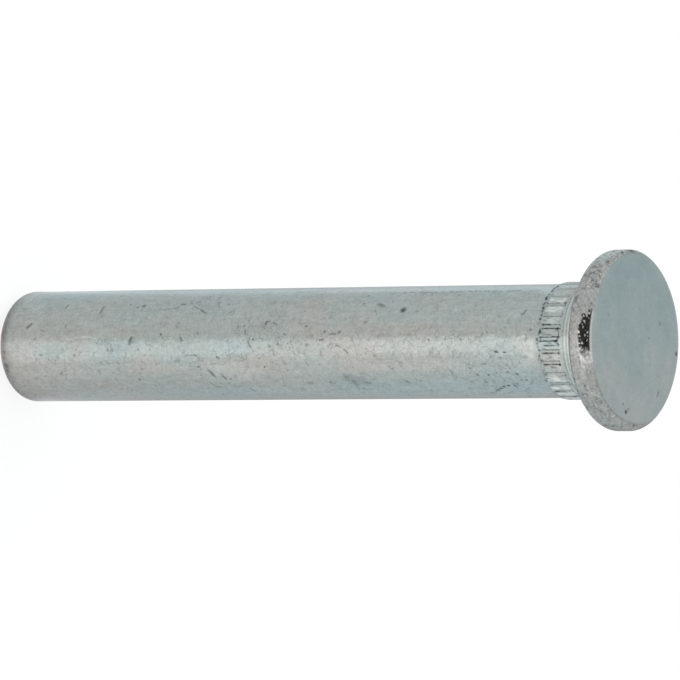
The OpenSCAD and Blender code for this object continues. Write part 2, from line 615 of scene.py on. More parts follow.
# Marks on the front of the shank by kind, from the free end up: the values of a Mark after its kind.
FRONT_MARKS = {
    MarkKind.PIT: (
        (3.9, -8, 0.24, 0.18, 0, 0.01, 0.45),
        (7.7, 10, 0.35, 0.25, 30, 0.012, 0.5),
        (11.1, 29.4, 0.36, 0.22, 20, 0.008, 0.34),
        (12.2, -48, 0.28, 0.2, -23, 0.015, 0.45),
        (13.2, -6.5, 0.75, 0.7, 0, 0.02, 0.28),
        (13.6, -45, 0.5, 0.32, 22, 0.02, 0.65),
        (13.8, 4, 0.24, 0.17, 0, 0.012, 0.55),
        (19.2, 11.3, 0.26, 0.18, 0, 0.012, 0.45),
        (19.3, 23.3, 0.36, 0.22, -20, 0.008, 0.42),
        (19.4, -12, 0.3, 0.2, 57, 0.015, 0.55),
        (21.9, 38, 0.25, 0.2, 0, 0.01, 0.75),
        (22.25, -3.6, 0.42, 0.22, 73, 0.008, 0.36),
        (24.6, -5, 0.25, 0.2, 20, 0.012, 0.85),
        (26.5, 11.2, 0.36, 0.2, 59, 0.008, 0.42),
        (26.9, 0, 0.35, 0.25, 0, 0.01, 0.48),
        (29.6, 1.3, 0.45, 0.3, 0, 0.01, 0.42),
        (31, 43.6, 0.32, 0.3, 58, 0.015, 0.6),
        (35.75, 13.2, 0.42, 0.28, 9, 0.008, 0.46),
        (37.1, 27.4, 0.3, 0.22, 3, 0.012, 0.5),
        (38, -35.5, 0.68, 0.48, -12, 0.05, 0.92),
        (39, -8.7, 0.65, 0.34, 0, 0.008, 0.34),
        (39.3, 42.6, 0.32, 0.2, 0, 0.01, 0.4),
        (40.7, -3, 0.22, 0.18, 40, 0.01, 0.75),
        (41.6, 10.8, 0.32, 0.2, -45, 0.008, 0.46),
        (42.2, -3.6, 0.2, 0.18, 34, 0.01, 0.5),
        (42.5, 6.8, 0.38, 0.25, 76, 0.008, 0.36),
        (42.8, -0.2, 0.3, 0.18, 72, 0.008, 0.36),
        (43.6, -3, 0.26, 0.2, 38, 0.012, 0.6),
        (43.8, 44.6, 0.3, 0.2, 0, 0.012, 0.5),
        (44, 33, 0.2, 0.17, 0, 0.012, 0.5),
        (44.1, 27.4, 0.2, 0.17, 0, 0.012, 0.7),
        (44.6, 35.5, 0.3, 0.22, 40, 0.015, 0.65),
        (45.1, 45.4, 0.35, 0.25, 0, 0.012, 0.5),
        (45.6, 35.5, 0.25, 0.2, 0, 0.012, 0.95),
        (47.4, 32.7, 0.4, 0.25, 0, 0.012, 0.45),
        (48.2, 35.3, 0.34, 0.24, 20, 0.02, 0.6),
        (48.35, 42.3, 0.22, 0.2, 0, 0.012, 0.55),
        (48.45, 5.5, 0.36, 0.22, -20, 0.008, 0.36),
        (48.8, -28.6, 0.3, 0.17, 15, 0.012, 0.5),
        (48.8, 42.4, 0.22, 0.2, 0, 0.012, 0.75),
    ),
    MarkKind.SCRATCH: (
        (2.1, -43, 0.4, 0.12, 20, 0.01, 0.35),
        (3.2, -22, 0.75, 0.22, -42, 0.02, 0.65),
        (3.45, 35.5, 0.6, 0.12, -20, 0.01, 0.35),
        (4.45, 32.5, 0.45, 0.12, -35, 0.01, 0.35),
        (4.6, -16.4, 0.7, 0.1, 12, 0.01, 0.45),
        (6.1, 29, 0.5, 0.14, -35, 0.012, 0.45),
        (6.15, -45.5, 0.6, 0.13, -76, 0.012, 0.6),
        (6.7, -21, 0.45, 0.12, -80, 0.01, 0.42),
        (7.2, 66, 0.95, 0.12, -7, 0.01, 0.45),
        (9.7, -40, 1.1, 0.15, -82, 0.025, 0.6),
        (9.9, -34, 0.7, 0.1, -85, 0.012, 0.3),
        (10.9, 4, 0.24, 0.14, 13, 0.012, 0.6),
        (11.3, 5, 0.24, 0.12, 0, 0.012, 0.5),
        (11.7, 18, 0.3, 0.12, -15, 0.01, 0.35),
        (13, -43, 0.34, 0.14, 25, 0.012, 0.4),
        (13, -5.3, 0.85, 0.24, -71, 0.03, 0.42),
        (13.3, -9, 0.36, 0.1, 9, 0.02, 0.3),
        (13.45, -5.6, 0.48, 0.09, -75, 0.02, 0.2),
        (13.5, -40, 0.26, 0.14, -41, 0.012, 0.5),
        (13.9, 25, 0.32, 0.13, 41, 0.012, 0.45),
        (15.9, -11.6, 0.3, 0.15, 71, 0.015, 0.8),
        (16, -20, 1.2, 0.14, -35, 0.012, 0.15),
        (17.35, 16.5, 0.62, 0.2, -16, 0.01, 0.36),
        (17.8, -7.4, 0.4, 0.14, 33, 0.018, 0.52),
        (17.9, -4.8, 0.36, 0.14, -31, 0.018, 0.58),
        (18.7, 11, 1.2, 0.09, 0, 0.01, 0.4),
        (18.7, 23, 1.4, 0.09, 0, 0.01, 0.3),
        (19.5, -35.5, 0.9, 0.12, 25, 0.01, 0.27),
        (19.9, 44.6, 0.7, 0.12, 46, 0.01, 0.35),
        (20.1, -68, 0.45, 0.14, -79, 0.01, 0.3),
        (20.2, -57, 0.3, 0.14, -23, 0.01, 0.65),
        (20.4, 49, 0.55, 0.13, 17, 0.01, 0.45),
        (20.5, -49, 0.4, 0.17, -13, 0.012, 0.5),
        (21.2, 13.7, 0.45, 0.18, 25, 0.015, 0.6),
        (21.5, -46, 0.5, 0.14, 14, 0.012, 0.4),
        (23.05, -18.1, 0.38, 0.14, -90, 0.01, 0.46),
        (23.3, 54.5, 0.7, 0.14, 43, 0.012, 0.45),
        (23.6, -19, 0.36, 0.13, -6, 0.01, 0.5),
        (23.8, -12.8, 0.55, 0.13, 82, 0.015, 0.6),
        (24.2, 0, 0.7, 0.13, 64, 0.015, 0.55),
        (25.4, 24, 0.26, 0.12, -85, 0.01, 0.8),
        (25.6, -22, 0.35, 0.16, -78, 0.015, 0.75),
        (25.8, -23.7, 0.45, 0.09, 1, 0.01, 0.5),
        (26.1, 2, 0.36, 0.18, 27, 0.015, 0.42),
        (26.5, -21, 0.9, 0.13, 25, 0.012, 0.45),
        (27.4, 28, 0.25, 0.13, 70, 0.01, 0.5),
        (27.5, -10, 0.34, 0.13, 21, 0.01, 0.5),
        (29.1, 44.3, 0.65, 0.24, 0, 0.01, 0.36),
        (29.4, -18, 0.36, 0.15, 8, 0.012, 0.6),
        (30.8, 10.6, 0.58, 0.2, -87, 0.01, 0.36),
        (30.9, -4.3, 0.55, 0.15, -12, 0.012, 0.6),
        (31.9, -9.8, 0.95, 0.13, -3, 0.012, 0.6),
        (32.4, 2.5, 0.55, 0.13, 25, 0.012, 0.5),
        (32.5, -11.5, 0.36, 0.17, -38, 0.015, 0.7),
        (32.6, 36.7, 0.35, 0.2, -23, 0.01, 0.35),
        (33.1, 8, 0.65, 0.12, 43, 0.012, 0.55),
        (33.1, 43.5, 0.5, 0.25, 57, 0.01, 0.3),
        (33.7, -4.3, 0.55, 0.2, 77, 0.008, 0.32),
        (34.1, -44, 0.25, 0.12, -6, 0.01, 0.75),
        (34.4, 45, 0.65, 0.22, 11, 0.01, 0.3),
        (34.8, -21.5, 0.36, 0.14, -37, 0.012, 0.5),
        (36.45, -8, 1.5, 0.26, -4, 0.008, 0.26),
        (36.6, 16.5, 1.9, 0.22, -3, 0.006, 0.24),
        (38, 43.7, 0.55, 0.22, 40, 0.012, 0.45),
        (39.8, -57.5, 0.26, 0.16, -42, 0.012, 0.5),
        (42.4, 30.6, 0.3, 0.12, -9, 0.01, 0.35),
        (45.55, 22.5, 0.55, 0.12, 3, 0.012, 0.4),
        (47.05, 16.8, 0.4, 0.12, 0, 0.012, 0.45),
        (49, -31, 0.55, 0.14, -72, 0.015, 0.65),
        (49.25, 15.8, 0.62, 0.2, -11, 0.01, 0.36),
        (49.45, -3.4, 0.75, 0.18, -75, 0.01, 0.36),
    ),
    MarkKind.STAIN: (
        (4.5, 9, 0.4, 0.2, 10, 0, 0.45),
        (20.3, 31.4, 1, 0.3, 57, 0.015, 0.55),
        (21.3, 36, 0.6, 0.26, 61, 0.012, 0.5),
        (21.4, -70, 2.8, 0.26, 0, 0, 0.14),
        (27.9, -67, 2.5, 0.36, 0, 0, 0.14),
        (33.4, 41, 2.6, 1, 12, 0, 0.2),
        (35.7, -42, 0.9, 0.32, 19, 0, 0.5),
        (46.75, 10.4, 0.45, 0.14, 8, 0.02, 0.86),
        (47.45, 10.9, 0.3, 0.13, 0, 0.02, 0.8),
    ),
}

# Cracks on the front of the shank: the branching ones below the collar, the ragged ones and the pale one.
FRONT_HAIRLINES = (
    Hairline(((45.2, 62), (45.7, 57.7), (46.2, 54), (46.6, 50.5)), 0.20, 0.75),
    Hairline(((46.6, 50.5), (47.1, 50), (47.5, 50.5)), 0.11, 0.7),
    Hairline(((44.0, 64.6), (44.4, 64.7), (44.7, 63), (45.3, 63)), 0.12, 0.6),
    Hairline(((46.4, 62.7), (47.3, 62), (48.1, 62.3)), 0.08, 0.5),
    Hairline(((47.2, 52.2), (47.8, 52.3)), 0.09, 0.5),
    Hairline(((47.0, 20), (47.4, 23), (47.8, 30), (48.2, 35.5)), 0.09, 0.55),
    Hairline(((42.6, 53.8), (43.6, 54.6), (44.5, 55.8)), 0.08, 0.45),
    Hairline(((45.0, 51.2), (45.8, 51.3)), 0.08, 0.4),
    Hairline(((36.0, -60), (38.0, -62), (40.5, -60.5), (43.0, -63), (45.5, -61), (47.5, -63)), 0.20, 0.4),
    Hairline(((30.5, 55), (32.0, 53), (33.6, 54.5), (35.0, 53.5)), 0.09, 0.35),
    Hairline(((14.2, -39.5), (15.9, -40), (16.7, -41.5), (17.5, -49)), 0.10, 0.5),
    Hairline(((16.9, -47), (18.2, -48.6), (19.1, -52)), 0.10, 0.55),
    Hairline(((18.1, -45), (18.9, -40), (19.7, -35)), 0.10, 0.55),
    Hairline(((6.4, -7), (7.2, -6.6), (7.9, -8.6), (8.9, -9), (10.0, -7.4)), 0.11, 0.05, 0.35),
    Hairline(((6.4, -5.6), (7.3, -5.2), (8.0, -7.2)), 0.08, 0.3),
)

# Cracks at the upper ends of the front grooves, and on the pad between them.
COLLAR_CRACKS = (
    Hairline(((52.25, -13), (52.4, -9), (52.4, -4.7)), 0.11, 0.7),
    Hairline(((52.05, -0.3), (52.3, -2), (52.5, -4.5)), 0.11, 0.8),
    Hairline(((52.05, -0.3), (52.25, 1.5), (52.45, 3.5)), 0.11, 0.7),
    Hairline(((51.15, 4), (52.0, 4.2)), 0.08, 0.4),
    Hairline(((51.2, 9), (52.0, 8.8)), 0.08, 0.3),
)

# Tint of the front, from the free end up: rose above 0 and blue below.
FRONT_TINTS = (
    Patch(1.5, 55, 4.0, 50, 0.4),
    Patch(6.0, -64, 6.0, 18, -1.2),
    Patch(5.2, 5, 3.6, 17, -0.9),
    Patch(4.6, 0, 10.0, 84, 0.8),
    Patch(5.8, -35, 2.2, 20, 0.4),
    Patch(11.2, 3, 4.0, 22, -0.4),
    Patch(14.1, 20, 3.6, 28, 0.8),
    Patch(12.6, -16, 3.0, 20, 0.6),
    Patch(15.7, -29, 3.2, 20, 0.4),
    Patch(17.2, 10, 4.0, 22, -0.5),
    Patch(6.0, 62, 14.0, 56, 0.5),
    Patch(22.8, 5, 3.0, 16, -0.6),
    Patch(23.0, 26, 10.0, 40, 0.5),
    Patch(27.0, -20, 30.0, 22, 0.25),
    Patch(29.6, 22, 4.0, 20, -0.4),
    Patch(29.8, -29, 3.0, 46, 0.5),
    Patch(36.9, 12, 18.5, 46, 0.7),
    Patch(38.4, -14, 8.0, 16, 0.5),
    Patch(38.7, 57, 22.0, 36, -0.3),
    Patch(43.0, -30, 8.0, 44, 0.4),
    Patch(35.0, -72, 8.0, 24, 0.5),
    Patch(47.2, 32, 4.8, 58, -0.5),
    Patch(49.4, 0, 2.0, 60, 0.6),
    Patch(51.5, 3, 2.0, 14, -0.6),
    Patch(51.8, 27, 2.0, 40, 0.6),
    Patch(53.0, -62, 3.4, 50, 0.8),
    Patch(55.8, 60, 3.0, 56, -0.5),
    Patch(56.0, -75, 3.0, 80, -0.3),
)

# Crackled patches of the front, from the free end up.
FRONT_CRACKLE = (
    Patch(8.0, 12, 8.0, 30, 0.4),
    Patch(14.0, 5, 8.0, 30, 0.6),
    Patch(20.0, -46, 6.0, 30, 0.6),
    Patch(22.0, 25, 6.0, 50, 0.5),
    Patch(25.8, -4, 6.0, 50, 1.0),
    Patch(33.5, 42, 4.5, 22, 0.7),
    Patch(37.0, 2, 18.0, 22, 0.6),
    Patch(44.0, 4, 10.0, 34, 0.8),
    Patch(46.0, 42, 6.0, 60, 0.9),
    Patch(43.0, -60, 12.0, 12, 0.8),
)

# Painted highlights on the front, from the free end up.
FRONT_HIGHLIGHTS = (
    Patch(1.4, -66, 2.0, 26, 0.2),
    Patch(22.4, 31, 4.6, 22, 0.14),
    Patch(49.7, 13, 1.5, 28, 0.16),
    Patch(52.3, 22, 0.6, 16, 0.22),
)

# Dull patches of the front, from the free end up.
FRONT_DULLS = (
    Patch(0.9, 14, 1.4, 22, 0.12),
    Patch(1.4, -6, 1.4, 120, 0.05),
    Patch(1.8, 46, 3.4, 56, 0.12),
    Patch(3.2, 68, 5.0, 26, 0.12),
    Patch(29.6, 2, 8.6, 14, 0.08),
    Patch(53.75, 7, 1.0, 34, 0.36),
    Patch(55.0, 6, 0.9, 26, 0.12),
    Patch(55.2, -75, 1.6, 60, 0.06),
    Patch(55.2, 60, 1.6, 50, 0.08),
)

# Specks on the face: a cluster at its lower edge in the portrait, and a few across it.
FACE_SPECKS = (
    FaceSpeck(5.42, -1.30, 0.17, 0.9),
    FaceSpeck(5.20, -0.93, 0.10, 0.6),
    FaceSpeck(4.81, -1.72, 0.09, 0.7),
    FaceSpeck(4.04, 3.45, 0.14, 0.45),
    FaceSpeck(4.26, 3.29, 0.12, 0.35),
    FaceSpeck(-1.22, 3.85, 0.14, 0.45),
    FaceSpeck(-0.16, 2.20, 0.11, 0.35),
    FaceSpeck(1.09, 6.24, 0.20, 0.7),
    FaceSpeck(-1.93, -3.77, 0.14, 0.18),
    FaceSpeck(1.89, 2.31, 0.12, 0.2),
)


# Grime and painted shade on the two walls of the grooves up to each angle in degrees: both hold it left of
# the front, one to the right.
WALL_GRIME_AND_SHADE = (
    (-130, 0.5, 0.5),
    (-46, 0.125, 0.125),
    (-22, 0.5, 0.5),
    (5, 0.8, 0.8),
    (32, 0.25, 0.8),
    (180, 0.25, 0.5),
)

# Stretches round the head, in degrees.
WORN_BORDER = Stretch(-100, -14, 75, 120)
DARK_REFLECTION = Stretch(-25, -20, 4, 9)
BURR = Stretch(6, 9, 13, 21)
EDGE_HIGHLIGHT = Stretch(-24, -17, 10, 18)
DARK_EDGE = Stretch(16, 26, 70, 85)
LOWER_DULL = Stretch(62, 85, 140, 165)
UPPER_DULL = Stretch(-150, -120, -90, -75)
LEFT_WORMS = Stretch(-105, -90, -40, -28)
RIGHT_WORMS = Stretch(26, 36, 62, 80)


@dataclass(frozen=True)
class Ring:
    """One ring of points round the pin's axis."""

    radius: float
    height: float
    columns: int


def arc_rings(
    centre: tuple[float, float], radius: float, start: float, end: float, steps: int, columns: int
) -> list[Ring]:
    """Return the rings of a rounded edge, without its first point.

    Args:
        centre: Radius and height of the rounding's centre, in millimetres.
        radius: Radius of the rounding.
        start: Angle in the section, in degrees from outwards towards upwards.
        end: Last angle.
        steps: Number of rings.
        columns: Points on each ring.

    Returns:
        The rings in order.
    """
    turns = (math.radians(start + (end - start) * (i + 1) / steps) for i in range(steps))
    return [
        Ring(centre[0] + radius * math.cos(t), centre[1] + radius * math.sin(t), columns) for t in turns
    ]


def line_rings(
    start: tuple[float, float], end: tuple[float, float], spacing: float, columns: int
) -> list[Ring]:
    """Return the rings of a straight stretch, without its first point.

    Args:
        start: Radius and height of the first point, in millimetres.
        end: Radius and height of the last point.
        spacing: Greatest distance between rings.
        columns: Points on each ring.

    Returns:
        The rings in order.
    """
    steps = math.ceil(math.dist(start, end) / spacing)
    shares = ((i + 1) / steps for i in range(steps))
    return [
        Ring(start[0] + (end[0] - start[0]) * s, start[1] + (end[1] - start[1]) * s, columns) for s in shares
    ]


@dataclass
class Skin:
    """The points of the pin's surface in millimetres and degrees, and the wear that gathers on them."""

    points: np.ndarray
    radii: np.ndarray
    angles: np.ndarray
    heights: np.ndarray
    sink: np.ndarray
    soil: np.ndarray
    gleam: np.ndarray
    tint: np.ndarray
    crackle: np.ndarray

    @classmethod
    def of(cls, shape: Shape) -> "Skin":
        """Read the points of a surface, which has no wear yet.

        Args:
            shape: Surface of the pin in millimetres.

        Returns:
            The skin.
        """
        points = np.array([vert.co for vert in shape.verts])
        radii = np.hypot(points[:, 0], points[:, 1])
        angles = np.degrees(np.arctan2(points[:, 0], -points[:, 1]))
        unworn = (np.zeros(len(points)) for _ in range(5))
        return cls(points, radii, angles, points[:, 2].copy(), *unworn)

    def part(self, chosen: np.ndarray) -> "Skin":
        """Return a copy of the chosen points."""
        return Skin(*(getattr(self, field.name)[chosen] for field in fields(self)))

    def put(self, chosen: np.ndarray, part: "Skin") -> None:
        """Put a part, once it is worn, back in its place."""
        for field in fields(self):
            getattr(self, field.name)[chosen] = getattr(part, field.name)


@dataclass
class HingePin:
    """The pin as one worn piece: shank, grooved collar and head, revolved, then marked.

    The columns are the points of a ring, and the rows are the distances between rings in millimetres.
    """

    sizes: PinSizes
    shank_columns: int = 240
    collar_columns: int = 720
    rim_columns: int = 480
    shank_row: float = 0.7
    lead_row: float = 0.11
    groove_row: float = 0.085
    score_row: float = 0.05
    plain_row: float = 0.3
    under_row: float = 0.25
    rim_row: float = 0.09
    border_row: float = 0.1
    border_w: float = 0.6
    scatter_seed: int = 11
    scatter_pits: int = 104
    scatter_scratches: int = 20
    scatter_hairlines: int = 16
    scatter_patches: int = 14
    groove_turn: float = -2.0

    def build(self) -> bpy.types.Object:
        """Make the pin's mesh, wear it and dress it.

        Returns:
            The finished object, which rides on the root body in place of the CAD node.
        """
        shape = bmesh.new()
        self._revolve(shape)
        marks, hairlines = self._marks(), self._hairlines()
        self._refine(shape, marks, hairlines)
        self._wear(shape, marks, hairlines)
        mesh = bpy.data.meshes.new("hinge_pin_surface")
        shape.to_mesh(mesh)
        shape.free()
        pin = bpy.data.objects.new("hinge_pin_plated", mesh)
        bpy.context.scene.collection.objects.link(pin)
        for zone in Zone:
            mesh.materials.append(FINISHES[zone].material())
        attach(pin, "root")
        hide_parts(NODE)
        return pin

    def _rings(self) -> list[Ring]:
        """List the rings of the pin's section, from the middle of the free end to the middle of the face.

        Returns:
            The rings in order, without the two poles.
        """
        s = self.sizes
        fine, collar, rim = self.shank_columns, self.collar_columns, self.rim_columns
        end_r = s.shank_r - s.tip_r
        groove_top = s.groove_z[1] + 0.3
        score_top = groove_top + 0.85
        neck_top = s.grip_l - s.fillet_r
        face_z = s.total_l - s.edge_r
        border_r = s.face_r - self.border_w
        rings = [Ring(end_r * share, 0.0, round(fine * share)) for share in (0.25, 0.5, 0.75)]
        rings.append(Ring(end_r, 0.0, fine))
        rings += arc_rings((end_r, s.tip_r), s.tip_r, -90, 0, 10, fine)
        rings += line_rings((s.shank_r, s.tip_r), (s.shank_r, s.lead_z), self.shank_row, fine)
        rings += line_rings((s.shank_r, s.lead_z), (s.collar_r, s.collar_z), self.lead_row, collar)
        rings += line_rings((s.collar_r, s.collar_z), (s.collar_r, groove_top), self.groove_row, collar)
        rings += line_rings((s.collar_r, groove_top), (s.collar_r, score_top), self.score_row, fine)
        rings += line_rings((s.collar_r, score_top), (s.collar_r, neck_top), self.plain_row, fine)
        rings += arc_rings((s.collar_r + s.fillet_r, neck_top), s.fillet_r, 180, 90, 5, fine)
        rings += line_rings((s.collar_r + s.fillet_r, s.grip_l), (s.face_r, s.grip_l), self.under_row, fine)
        rings += arc_rings((s.face_r, s.grip_l + s.edge_r), s.edge_r, -90, 0, 6, rim)
        rings += line_rings((s.head_r, s.grip_l + s.edge_r), (s.head_r, face_z), self.rim_row, rim)
        rings += arc_rings((s.face_r, face_z), s.edge_r, 0, 90, 9, rim)
        rings += line_rings((s.face_r, s.total_l), (border_r, s.total_l), self.border_row, rim)
        rings += line_rings((border_r, s.total_l), (s.face_r * 0.55, s.total_l), self.plain_row, fine)
        rings += [Ring(s.face_r * share, s.total_l, round(fine * share)) for share in (0.4, 0.25, 0.125)]
        return rings

    def _revolve(self, shape: Shape) -> None:
        """Fill a bmesh with the pin's clean surface, in millimetres."""
        rings = self._rings()
        loops = []
        for ring in rings:
            turns = [2 * math.pi * i / ring.columns for i in range(ring.columns)]
            places = [(ring.radius * math.sin(t), -ring.radius * math.cos(t), ring.height) for t in turns]
            loops.append([shape.verts.new(place) for place in places])
        bottom = shape.verts.new((0, 0, rings[0].height))
        top = shape.verts.new((0, 0, rings[-1].height))
        for lower, upper in zip(loops, loops[1:]):
            self._join(shape, lower, upper)
        for i, vert in enumerate(loops[0]):
            shape.faces.new((bottom, vert, loops[0][i - 1]))
        for i, vert in enumerate(loops[-1]):
            shape.faces.new((loops[-1][i - 1], vert, top))

    @staticmethod
    def _join(shape: Shape, lower: list, upper: list) -> None:
        """Join two rings, with quads where they match and with triangles where their counts differ.

        Args:
            shape: Mesh that gets the faces.
            lower: Points of the first ring, in rising angle from the front.
            upper: Points of the next ring, from the same angle.
        """
        n, m = len(lower), len(upper)
        if n == m:
            for i in range(n):
                j = (i + 1) % n
                shape.faces.new((lower[i], lower[j], upper[j], upper[i]))
            return
        i = j = 0
        while i < n or j < m:
            if j == m or (i < n and (i + 1) * m <= (j + 1) * n):
                shape.faces.new((lower[i % n], lower[(i + 1) % n], upper[j % m]))
                i += 1
            else:
                shape.faces.new((lower[i % n], upper[(j + 1) % m], upper[j % m]))
                j += 1

    def _marks(self) -> list[Mark]:
        """Return the marks of the front and the seeded ones that cover the rest of the shank."""
        chance = random.Random(self.scatter_seed)
        margin = 0.5
        low, high = self.sizes.tip_r + margin, self.sizes.lead_z - margin
        marks = [Mark(kind, *row) for kind, rows in FRONT_MARKS.items() for row in rows]
        for _ in range(self.scatter_pits):
            size = chance.uniform(0.12, 0.3)
            marks.append(Mark(
                MarkKind.PIT, chance.uniform(low, high), chance.uniform(70, 290),
                size * chance.uniform(1.0, 1.8), size, chance.uniform(-90, 90), 0.05 * size,
                chance.uniform(0.25, 0.8),
            ))
        for _ in range(self.scatter_scratches):
            marks.append(Mark(
                MarkKind.SCRATCH, chance.uniform(low + 1, high - 1), chance.uniform(75, 285),
                chance.uniform(0.5, 2.2), chance.uniform(0.08, 0.14), chance.uniform(-50, 50), 0.01,
                chance.uniform(0.2, 0.5),
            ))
        return marks

    def _hairlines(self) -> list[Hairline]:
        """Return the cracks of the front and the seeded ones that wander along the rest of the shank."""
        chance = random.Random(self.scatter_seed + 2)
        lines = list(FRONT_HAIRLINES)
        for _ in range(self.scatter_hairlines):
            height = chance.uniform(3.0, self.sizes.lead_z - 4.0)
            angle = chance.uniform(75, 285)
            places = []
            for _ in range(chance.randint(3, 6)):
                places.append((height, angle))
                height += chance.uniform(0.3, 0.8)
                angle += chance.uniform(-4, 4)
            lines.append(Hairline(tuple(places), chance.uniform(0.07, 0.11), chance.uniform(0.2, 0.5)))
        return lines

    def _refine(self, shape: Shape, marks: list[Mark], hairlines: list[Hairline]) -> None:
        """Cut the faces under the marks smaller, so that the marks have a true shape.

        Args:
            shape: Clean surface of the pin.
            marks: Marks on the shank.
            hairlines: Cracks on the shank.
        """
        tall = 0.2
        for axial_only, cuts, least_soil in ((True, 4, 0.0), (False, 1, 0.4)):
            faces = self._faces_under(shape, [mark for mark in marks if mark.soil >= least_soil], hairlines)
            edges = {edge for face in faces for edge in face.edges}
            if axial_only:
                edges = {edge for edge in edges if abs(edge.verts[0].co.z - edge.verts[1].co.z) > tall}
            bmesh.ops.subdivide_edges(shape, edges=list(edges), cuts=cuts, use_grid_fill=True)
        specked = self._faces_specked(shape)
        edges = {edge for face in specked for edge in face.edges}
        bmesh.ops.subdivide_edges(shape, edges=list(edges), cuts=4, use_grid_fill=True)
        bmesh.ops.triangulate(shape, faces=[face for face in shape.faces if len(face.verts) > 4])

    def _faces_under(self, shape: Shape, marks: list[Mark], hairlines: list[Hairline]) -> list[Face]:
        """Return the faces of the shank that lie under the marks and the cracks, with a small margin.

        Args:
            shape: Surface of the pin.
            marks: Marks on the shank.
            hairlines: Cracks on the shank.

        Returns:
            The faces, each once.
        """
        margin = 0.05
        shape.faces.ensure_lookup_table()
        centres = np.array([face.calc_center_median() for face in shape.faces])
        rows = np.nonzero((centres[:, 2] > self.sizes.tip_r) & (centres[:, 2] < self.sizes.lead_z))[0]
        heights = centres[rows, 2]
        angles = np.degrees(np.arctan2(centres[rows, 0], -centres[rows, 1]))
        under = np.zeros(len(rows), dtype=bool)
        corners = [[vert.co.z for vert in shape.faces[i].verts] for i in rows]
        half = np.array([(max(levels) - min(levels)) / 2 for levels in corners])
        for mark in marks:
            up = heights - mark.height
            nearest = mark.height + np.sign(up) * np.maximum(np.abs(up) - half, 0.0)
            along, across = self._local(mark, angles, nearest)
            close = np.abs(across) < 0.7 * mark.width + margin
            under |= close & (np.abs(along) < 0.6 * mark.length + margin)
        for line in hairlines:
            for level in (heights - half, heights, heights + half):
                under |= self._gap(line, angles, level) < line.width + margin
        return [shape.faces[i] for i in rows[under]]

    def _faces_specked(self, shape: Shape) -> list[Face]:
        """Return the faces of the head's face that lie under its specks."""
        margin = 0.2
        flat = [face for face in shape.faces if face.calc_center_median().z > self.sizes.total_l - TINY]
        return [
            face for face in flat
            if any(
                (face.calc_center_median().xy - Vector((speck.x, speck.y))).length < speck.radius + margin
                for speck in FACE_SPECKS
            )
        ]

    def _local(self, mark: Mark, angles: np.ndarray, heights: np.ndarray) -> tuple[np.ndarray, np.ndarray]:
        """Return the distances in millimetres along and across a mark, for places on the shank.

        Args:
            mark: The mark.
            angles: Angles of the places in degrees.
            heights: Heights of the places.

        Returns:
            The distance along the mark and the distance across it.
        """
        side = np.radians(turned(angles, mark.angle)) * self.sizes.shank_r
        up = heights - mark.height
        lean = math.radians(mark.tilt)
        return up * math.cos(lean) + side * math.sin(lean), side * math.cos(lean) - up * math.sin(lean)

    def _gap(self, line: Hairline, angles: np.ndarray, heights: np.ndarray) -> np.ndarray:
        """Return the distance in millimetres of places on the shank from a crack.

        Args:
            line: The crack.
            angles: Angles of the places in degrees.
            heights: Heights of the places.

        Returns:
            The least distance of each place.
        """
        arc = math.radians(1) * self.sizes.shank_r
        first = line.places[0][1]
        spots = np.stack([heights, (turned(angles, first) + first) * arc], axis=1)
        bends = [np.array((height, angle * arc)) for height, angle in line.places]
        gap = np.full(len(spots), np.inf)
        for start, end in zip(bends, bends[1:]):
            run = end - start
            share = np.clip((spots - start) @ run / (run @ run), 0, 1)
            gap = np.minimum(gap, np.linalg.norm(spots - start - share[:, None] * run, axis=1))
        return gap

    def _wear(self, shape: Shape, marks: list[Mark], hairlines: list[Hairline]) -> None:
        """Press the grooves and marks into the surface, note the grime and scale it all to metres.

        Args:
            shape: Refined surface of the pin.
            marks: Marks on the shank.
            hairlines: Cracks on the shank.
        """
        s = self.sizes
        skin = Skin.of(shape)
        shank = np.nonzero((skin.heights > s.tip_r + TINY) & (skin.heights < s.lead_z - TINY))[0]
        skin.radii[shank] = s.shank_r
        collar = np.nonzero(
            (skin.heights > s.lead_z)
            & (skin.heights < s.grip_l - s.fillet_r)
            & (skin.radii < s.collar_r + 0.01)
        )[0]
        head = np.nonzero((skin.heights > s.grip_l) & (skin.radii > s.face_r - self.border_w))[0]
        press_shank = partial(self._mark, marks=marks, hairlines=hairlines)
        for chosen, press in ((shank, press_shank), (collar, self._groove), (head, self._upset)):
            part = skin.part(chosen)
            press(part)
            skin.put(chosen, part)
        self._scuff(skin)
        self._speck(skin)
        self._tint(skin)
        out, up = self._normals(skin)
        radii = skin.radii - skin.sink * out
        turns = np.radians(skin.angles)
        levels = skin.heights - skin.sink * up
        placed = np.stack([radii * np.sin(turns), -radii * np.cos(turns), levels], axis=1)
        for vert, place in zip(shape.verts, placed * MM):
            vert.co = place
        for name in POINT_VALUES:
            layer = shape.verts.layers.float.new(name)
            for vert, value in zip(shape.verts, np.clip(getattr(skin, name), -1, 1)):
                vert[layer] = value
        for face in shape.faces:
            face.smooth = True
            face.material_index = self._zone(face.calc_center_median() / MM).value

    def _zone(self, place: Vector) -> Zone:
        """Return the zone of a place on the pin, given in millimetres."""
        s = self.sizes
        across = math.hypot(place.x, place.y)
        if place.z < s.lead_z:
            return Zone.SHANK
        if place.z < s.grip_l + s.edge_r and across < s.collar_r + s.fillet_r:
            return Zone.COLLAR
        angle = np.degrees(np.arctan2(place.x, -place.y))
        if place.z > s.total_l - FACE_DEPTH and across < self._border(angle):
            return Zone.FACE
        return Zone.RIM

    def _border(self, angles: np.ndarray) -> np.ndarray:
        """Return the radius of the face's border, which is worn back on the front and crisp elsewhere."""
        s = self.sizes
        worn = WORN_BORDER.share(angles)
        return s.face_r + s.crisp_edge - (s.worn_edge + s.crisp_edge) * worn

